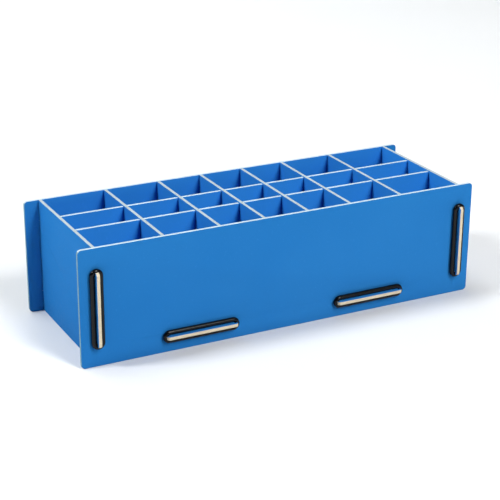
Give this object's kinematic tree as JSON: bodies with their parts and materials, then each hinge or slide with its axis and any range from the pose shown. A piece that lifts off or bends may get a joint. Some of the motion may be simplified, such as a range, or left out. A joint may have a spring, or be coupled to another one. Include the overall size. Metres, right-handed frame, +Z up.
{
  "type": "test tube rack",
  "caption": "Slot-together open-topped box rack of thin blue-faced board, held by stretched rubber rings, with a lift-out insert of half-lapped dividers for test tubes.",
  "frame": {"origin": "middle of the footprint, on the surface that the rack stands on", "axes": "+X along the length of the rack, +Y from its front panel to its back panel, +Z up"},
  "size_m": [0.33, 0.1264, 0.0907],
  "materials": {
    "blue_board": "thin fibreboard with a satin blue facing on both sides and raw cream-coloured cut edges",
    "divider_board": "the same blue-faced fibreboard, with raw pale top edges",
    "black_rubber": "smooth black rubber with a soft shine"
  },
  "bodies": {
    "box": {"front_panel": "blue_board", "back_panel": "blue_board", "left_end_panel": "blue_board", "right_end_panel": "blue_board", "bottom_panel": "blue_board", "ring_front_left_end": "black_rubber", "ring_front_left_floor": "black_rubber", "ring_front_right_end": "black_rubber", "ring_front_right_floor": "black_rubber", "ring_back_left_end": "black_rubber", "ring_back_left_floor": "black_rubber", "ring_back_right_end": "black_rubber", "ring_back_right_floor": "black_rubber"},
    "divider_insert": {"length_divider_front": "divider_board", "length_divider_back": "divider_board"},
    "cross_divider_1_body": {"cross_divider_1": "divider_board"},
    "cross_divider_2_body": {"cross_divider_2": "divider_board"},
    "cross_divider_3_body": {"cross_divider_3": "divider_board"},
    "cross_divider_4_body": {"cross_divider_4": "divider_board"},
    "cross_divider_5_body": {"cross_divider_5": "divider_board"},
    "cross_divider_6_body": {"cross_divider_6": "divider_board"}
  },
  "joints": [
    {"name": "insert_lift", "type": "slide", "parent": "box", "child": "divider_insert", "axis": [0, 0, 1], "range_m": [0, 0.08]},
    {"name": "cross_divider_1_lift", "type": "slide", "parent": "divider_insert", "child": "cross_divider_1_body", "axis": [0, 0, 1], "range_m": [0, 0.08]},
    {"name": "cross_divider_2_lift", "type": "slide", "parent": "divider_insert", "child": "cross_divider_2_body", "axis": [0, 0, 1], "range_m": [0, 0.08]},
    {"name": "cross_divider_3_lift", "type": "slide", "parent": "divider_insert", "child": "cross_divider_3_body", "axis": [0, 0, 1], "range_m": [0, 0.08]},
    {"name": "cross_divider_4_lift", "type": "slide", "parent": "divider_insert", "child": "cross_divider_4_body", "axis": [0, 0, 1], "range_m": [0, 0.08]},
    {"name": "cross_divider_5_lift", "type": "slide", "parent": "divider_insert", "child": "cross_divider_5_body", "axis": [0, 0, 1], "range_m": [0, 0.08]},
    {"name": "cross_divider_6_lift", "type": "slide", "parent": "divider_insert", "child": "cross_divider_6_body", "axis": [0, 0, 1], "range_m": [0, 0.08]}
  ]
}
